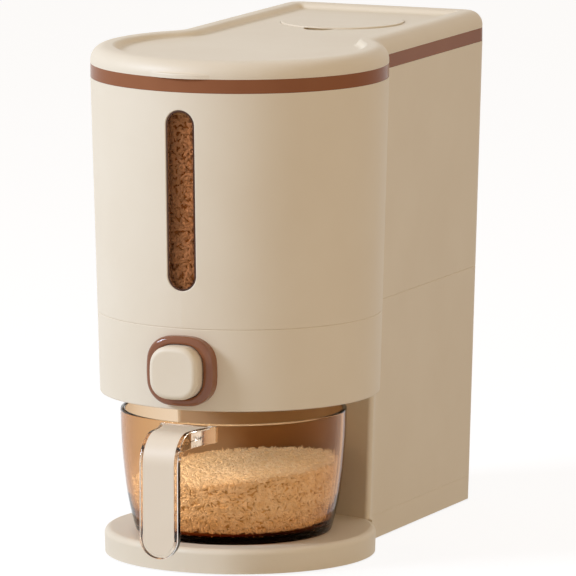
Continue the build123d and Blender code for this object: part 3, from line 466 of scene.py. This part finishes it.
# Swell of its surface: height, radians per millimetre across and back, and where it starts
RICE_WAVE = 0.8
RICE_WAVE_TURNS = (0.05, 0.06)
RICE_WAVE_START = 1.0
# Grains on top: gap to the wall, depth of their middles, scatter
TOP_EDGE = 0.9
TOP_SINK = 0.9
TOP_SCATTER = 0.7
# Grains at the wall: gaps to the floor and to the surface, scatter
WALL_LOW = 1.6
WALL_HIGH = 0.4
WALL_SCATTER = 0.7
# Body of the rice under the grains: sides, heights of its rings as shares, gaps to the grains
CORE_SIDES = 64
CORE_SHARES = (0.0, 0.08, 0.2, 0.4, 0.7, 1.0)
CORE_SINK = 0.4
CORE_INSET = 0.5


def cup_inside(height):
    """Inner radius of the cup at a height, along its rounded foot and its leaning wall."""
    for (r0, z0), (r1, z1) in zip(CUP_INSIDE, CUP_INSIDE[1:]):
        if height <= z1:
            return r0 + (r1 - r0) * (height - z0) / (z1 - z0)
    return CUP_RIM_R


def rice_level(x, y):
    """Height of the rice's surface in the cup, at a place measured from the cup's axis."""
    along = (x * RICE_LEAN_WAY[0] + y * RICE_LEAN_WAY[1]) / CUP_WAIST_R
    across, back = RICE_WAVE_TURNS
    wave = RICE_WAVE * math.sin(across * x + RICE_WAVE_START) * math.cos(back * y)
    return RICE_MID_Z + RICE_LEAN * along + wave


def cup_rice_core():
    """Body of the rice in the cup, just inside the grains that show, darker as painted shade in the
    gaps between them.
    """
    corners, faces = [], []
    for share in CORE_SHARES:
        for side in range(CORE_SIDES):
            turn = 2 * math.pi * side / CORE_SIDES
            out = (math.cos(turn), math.sin(turn))
            top = rice_level(CUP_WAIST_R * out[0], CUP_WAIST_R * out[1]) - GRAIN_SEAT - CORE_SINK
            low = CUP_FLOOR_Z + AIR
            height = low + (top - low) * share
            radius = cup_inside(height) - GRAIN_SEAT - AIR - CORE_INSET
            corners.append((radius * out[0], CUP_Y + radius * out[1], height))
    last = len(CORE_SHARES) - 1
    for ring in range(last):
        low, high = ring * CORE_SIDES, (ring + 1) * CORE_SIDES
        for side in range(CORE_SIDES):
            after = (side + 1) % CORE_SIDES
            faces.append((low + side, low + after, high + after, high + side))
    faces.append(tuple(reversed(range(CORE_SIDES))))
    faces.append(tuple(last * CORE_SIDES + side for side in range(CORE_SIDES)))
    new_piece("cup_rice_core", corners, faces, RICE_PAINTED_SHADE_UNDER, "cup")


def cup_rice():
    """Loose grains on the surface and against the wall, over the body of the rice."""
    draw = random.Random(11)
    cup_rice_core()
    top = []
    while len(top) < CUP_TOP_GRAINS:
        x, y = draw.uniform(-CUP_RIM_R, CUP_RIM_R), draw.uniform(-CUP_RIM_R, CUP_RIM_R)
        height = rice_level(x, y)
        if math.hypot(x, y) < cup_inside(height) - GRAIN_SEAT - AIR - TOP_EDGE:
            lift = draw.uniform(-TOP_SCATTER, TOP_SCATTER)
            top.append(((x, CUP_Y + y, height - TOP_SINK + lift), UPWARDS))
    # The grains on top carry the strongest painted glow
    heap("cup_rice_top", top, "cup", seed=12, finish=RICE_TOP_PAINTED_GLOW)
    wall = []
    while len(wall) < CUP_WALL_GRAINS:
        turn = draw.uniform(0, 2 * math.pi)
        out = (math.cos(turn), math.sin(turn), 0.0)
        surface = rice_level(CUP_WAIST_R * out[0], CUP_WAIST_R * out[1])
        height = draw.uniform(CUP_FLOOR_Z + WALL_LOW, surface - WALL_HIGH)
        radius = cup_inside(height) - GRAIN_SEAT - AIR - draw.uniform(0, WALL_SCATTER)
        wall.append(((radius * out[0], CUP_Y + radius * out[1], height), out))
    # The grains at the wall carry a weak painted glow
    heap("cup_rice_wall", wall, "cup", seed=13, finish=RICE_WALL_PAINTED_GLOW)


def hopper_front(inset, height):
    """Radius of the hopper's round front, drawn in from its outer wall."""
    return LOBE_R - LEAN_SHARE * (BAND_Z - height) - inset


# Rice behind the window: grains past the pane's edges, in front of a curved backing of rice painted
# darker as the shade inside the hopper
WINDOW_PAST = 3.0
WINDOW_SCATTER = 1.6
# The backing: columns and their pitch, gap to the pane, thickness, reach past the pane's ends
BACKING_COLUMNS = 9
BACKING_PITCH = 4.0
BACKING_SET = 2.8
BACKING_T = 6.0
BACKING_LOW = 5.0
BACKING_HIGH = 4.0


def window_rice():
    """Grains pressed against the inside of the sight window, and the rice behind them, painted
    darker as shade.
    """
    draw = random.Random(21)
    seats = []
    while len(seats) < WINDOW_GRAINS:
        x = draw.uniform(-WINDOW_HALF_W - WINDOW_PAST, WINDOW_HALF_W + WINDOW_PAST)
        height = draw.uniform(WINDOW_LOW_Z - WINDOW_PAST, WINDOW_HIGH_Z + WINDOW_PAST)
        inset = PANE_BACK + GRAIN_SEAT + AIR + draw.uniform(0, WINDOW_SCATTER)
        radius = hopper_front(inset, height)
        y = LOBE_Y - math.sqrt(radius ** 2 - x ** 2)
        seats.append(((x, y, height), (x / radius, (y - LOBE_Y) / radius, 0.0)))
    heap("window_rice", seats, "housing", seed=22, grain_mm=HOPPER_GRAIN_MM)
    columns = [BACKING_PITCH * (i - BACKING_COLUMNS // 2) for i in range(BACKING_COLUMNS)]
    corners, faces = [], []
    for depth in (0.0, BACKING_T):
        for height in (WINDOW_LOW_Z - BACKING_LOW, WINDOW_HIGH_Z + BACKING_HIGH):
            for x in columns:
                radius = hopper_front(PANE_BACK + BACKING_SET + depth, height)
                corners.append((x, LOBE_Y - math.sqrt(radius ** 2 - x ** 2), height))
    n = BACKING_COLUMNS
    for i in range(n - 1):
        faces.append((i, i + 1, n + i + 1, n + i))
        faces.append((2 * n + i + 1, 2 * n + i, 3 * n + i, 3 * n + i + 1))
        faces.append((2 * n + i, 2 * n + i + 1, i + 1, i))
        faces.append((n + i, n + i + 1, 3 * n + i + 1, 3 * n + i))
    for i in (0, n - 1):
        side = (i, n + i, 3 * n + i, 2 * n + i)
        faces.append(side if i == 0 else tuple(reversed(side)))
    new_piece("window_rice_backing", corners, faces, RICE_SHADE, "housing")


# Rice in the hopper: full behind the window, running lower towards the back
BED_FRONT_Z = 309.0
BED_BACK_Z = 297.0
BED_FALL = (-60.0, 60.0)
BED_DEPTH = 5.0
# Rows of the bed's mesh, closer at the round front, and the depth and scatter of the grains on it
BED_ROWS = 40
BED_ROW_POWER = 1.4
BED_SINK = 1.2
BED_SCATTER = 0.6
# Outside of the hopper at the trim band, and its wall
HOPPER_HALF_W = 75.0
HOPPER_BACK_Y = 192.7
HOPPER_CORNER_R = 16.0
HOPPER_WALL = 4.2


def bed_level(y):
    """Height of the rice in the hopper along its length."""
    share = min(max((y - BED_FALL[0]) / (BED_FALL[1] - BED_FALL[0]), 0.0), 1.0)
    return BED_FRONT_Z + (BED_BACK_Z - BED_FRONT_Z) * share * share * (3 - 2 * share)


def bed_half_width(y):
    """Half the hopper's inner width: round front, straight sides and rounded rear corners."""
    lean = LEAN_SHARE * (BAND_Z - bed_level(y)) + HOPPER_WALL
    round_front = math.sqrt(max((LOBE_R - lean) ** 2 - (y - LOBE_Y) ** 2, 0.0))
    corner = HOPPER_CORNER_R - lean
    past = max(y - HOPPER_BACK_Y + HOPPER_CORNER_R, 0.0)
    rounded = corner - math.sqrt(max(corner ** 2 - past ** 2, 0.0))
    straight_side = HOPPER_HALF_W - lean - rounded if y > LOBE_Y else 0.0
    return max(round_front, straight_side)


def hopper_rice():
    """Bed of rice that shows when the lid is off, with loose grains on it; the bed is darker as
    painted shade between the grains.
    """
    front_y = LOBE_Y - LOBE_R + HOPPER_WALL + LEAN_SHARE * (BAND_Z - BED_FRONT_Z)
    back_y = HOPPER_BACK_Y - HOPPER_WALL - LEAN_SHARE * (BAND_Z - BED_BACK_Z)
    corners, faces = [], []
    for row in range(BED_ROWS + 1):
        y = front_y + (back_y - front_y) * (row / BED_ROWS) ** BED_ROW_POWER
        half, top = bed_half_width(y), bed_level(y) - GRAIN_SEAT
        low = top - BED_DEPTH
        corners += [(-half, y, top), (half, y, top), (half, y, low), (-half, y, low)]
    for row in range(BED_ROWS):
        low, high = 4 * row, 4 * row + 4
        for edge in range(4):
            after = (edge + 1) % 4
            faces.append((low + edge, low + after, high + after, high + edge))
    faces += [(3, 2, 1, 0), tuple(4 * BED_ROWS + i for i in range(4))]
    new_piece("hopper_rice_bed", corners, faces, RICE_PAINTED_SHADE_UNDER, "housing")
    draw = random.Random(31)
    seats = []
    while len(seats) < HOPPER_GRAINS:
        y = draw.uniform(front_y + GRAIN_SEAT, back_y - GRAIN_SEAT)
        reach = bed_half_width(y) - GRAIN_SEAT
        x = draw.uniform(-LOBE_R, LOBE_R)
        if abs(x) < reach:
            lift = draw.uniform(-BED_SCATTER, BED_SCATTER)
            seats.append(((x, y, bed_level(y) - BED_SINK + lift), UPWARDS))
    heap("hopper_rice", seats, "housing", seed=32, grain_mm=HOPPER_GRAIN_MM)


cup_rice()
window_rice()
hopper_rice()


# Studio: pale floor that keeps the shadow, soft cool key from the left, broad warm panel on the
# right and a weak cool panel over the back
FLOOR_REACH = 30.0
FLOOR_GLOW = 0.86
FILL_STRENGTH = 0.49
LAMP_AIM = Vector((0, 0, 0.17))
COOL_LIGHT = "#D8E5FC"
WARM_LIGHT = "#FFE0BE"


def seen_directly(tree):
    """1 for rays that show the background straight, mirrored or through clear plastic."""
    rays = add(tree, "ShaderNodeLightPath")
    seen = rays.outputs["Is Camera Ray"]
    for kind in ("Is Glossy Ray", "Is Transmission Ray"):
        links = {0: seen, 1: rays.outputs[kind]}
        seen = add(tree, "ShaderNodeMath", {"operation": "MAXIMUM"}, links=links).outputs[0]
    return seen


def by_sight(tree, unseen, seen):
    """Shader that is one thing to the light it gives and another to the eye."""
    links = {0: seen_directly(tree), 1: unseen, 2: seen}
    return add(tree, "ShaderNodeMixShader", links=links).outputs[0]


def studio_floor():
    """White where it is seen, less the object's shadow, and light grey to what it lights."""
    material, tree = new_material("pale_studio_floor")
    bounce = add(tree, "ShaderNodeBsdfDiffuse", values={"Color": linear("#C8C6C2")})
    shade = add(tree, "ShaderNodeBsdfDiffuse", values={"Color": linear("#858585")})
    white = add(tree, "ShaderNodeEmission", values={"Color": WHITE, "Strength": FLOOR_GLOW})
    shown = add(tree, "ShaderNodeAddShader", links={0: shade.outputs[0], 1: white.outputs[0]})
    output(tree, by_sight(tree, bounce.outputs[0], shown.outputs[0]))
    mesh = bpy.data.meshes.new("studio_floor")
    ways = ((-1, -1), (1, -1), (1, 1), (-1, 1))
    mesh.from_pydata([(x * FLOOR_REACH, y * FLOOR_REACH, 0) for x, y in ways], [], [(0, 1, 2, 3)])
    mesh.materials.append(material)
    floor = bpy.data.objects.new("studio_floor", mesh)
    bpy.context.scene.collection.objects.link(floor)


def studio_world():
    """White backdrop, with a dimmer warm fill for the light that reaches the object."""
    world = bpy.data.worlds.new("studio")
    bpy.context.scene.world = world
    world.use_nodes = True
    tree = world.node_tree
    tree.nodes.clear()
    warm = {"Color": linear("#F5DFC6"), "Strength": FILL_STRENGTH}
    fill = add(tree, "ShaderNodeBackground", values=warm)
    white = add(tree, "ShaderNodeBackground", values={"Color": WHITE, "Strength": 1.0})
    mixed = by_sight(tree, fill.outputs[0], white.outputs[0])
    add(tree, "ShaderNodeOutputWorld", links={"Surface": mixed})


def lamp(name, azimuth, elevation, distance, size, watts, colour):
    """Soft lamp aimed at the object's middle, placed by degrees round from the front and up."""
    turn, rise = math.radians(azimuth), math.radians(elevation)
    level = math.cos(rise)
    away = Vector((math.sin(turn) * level, -math.cos(turn) * level, math.sin(rise)))
    light = bpy.data.lights.new(name, "AREA")
    light.shape = "RECTANGLE"
    light.size, light.size_y = size
    light.energy = watts
    light.color = linear(colour)[:3]
    holder = bpy.data.objects.new(name, light)
    holder.location = LAMP_AIM + away * distance
    holder.rotation_euler = (-away).to_track_quat("-Z", "Y").to_euler()
    bpy.context.scene.collection.objects.link(holder)


studio_floor()
studio_world()
lamp("key", -46.0, 27.5, distance=2.4, size=(0.7, 0.7), watts=45.0, colour=COOL_LIGHT)
lamp("top_panel", 170.0, 68.0, distance=2.2, size=(1.6, 1.6), watts=4.0, colour=COOL_LIGHT)
lamp("fill_panel", 66.0, 12.0, distance=2.2, size=(1.7, 1.5), watts=8.0, colour=WARM_LIGHT)

# Camera: long lens, a little above the object and 23 degrees to the right of its front
AZIMUTH = math.radians(23.317)
PITCH = math.radians(8.579)
DISTANCE = 5.290
LENS_MM = 495.8
SENSOR_MM = 36.0
MIDDLE = Vector((0, -0.0007, 0.1659))
SHIFT_RIGHT = 0.00791
SHIFT_UP = 0.00207
right = Vector((math.cos(AZIMUTH), math.sin(AZIMUTH), 0))
level = math.cos(PITCH)
ahead = Vector((-math.sin(AZIMUTH) * level, math.cos(AZIMUTH) * level, -math.sin(PITCH)))
up = right.cross(ahead)
aim = MIDDLE + right * SHIFT_RIGHT + up * SHIFT_UP
camera_data = bpy.data.cameras.new("camera")
camera_data.lens = LENS_MM
camera_data.sensor_width = SENSOR_MM
camera_data.clip_start, camera_data.clip_end = 0.1, 200.0
camera = bpy.data.objects.new("camera", camera_data)
camera.location = aim - ahead * DISTANCE
camera.rotation_euler = ahead.to_track_quat("-Z", "Y").to_euler()
bpy.context.scene.collection.objects.link(camera)
bpy.context.scene.camera = camera
bpy.context.scene.view_settings.view_transform = "Standard"
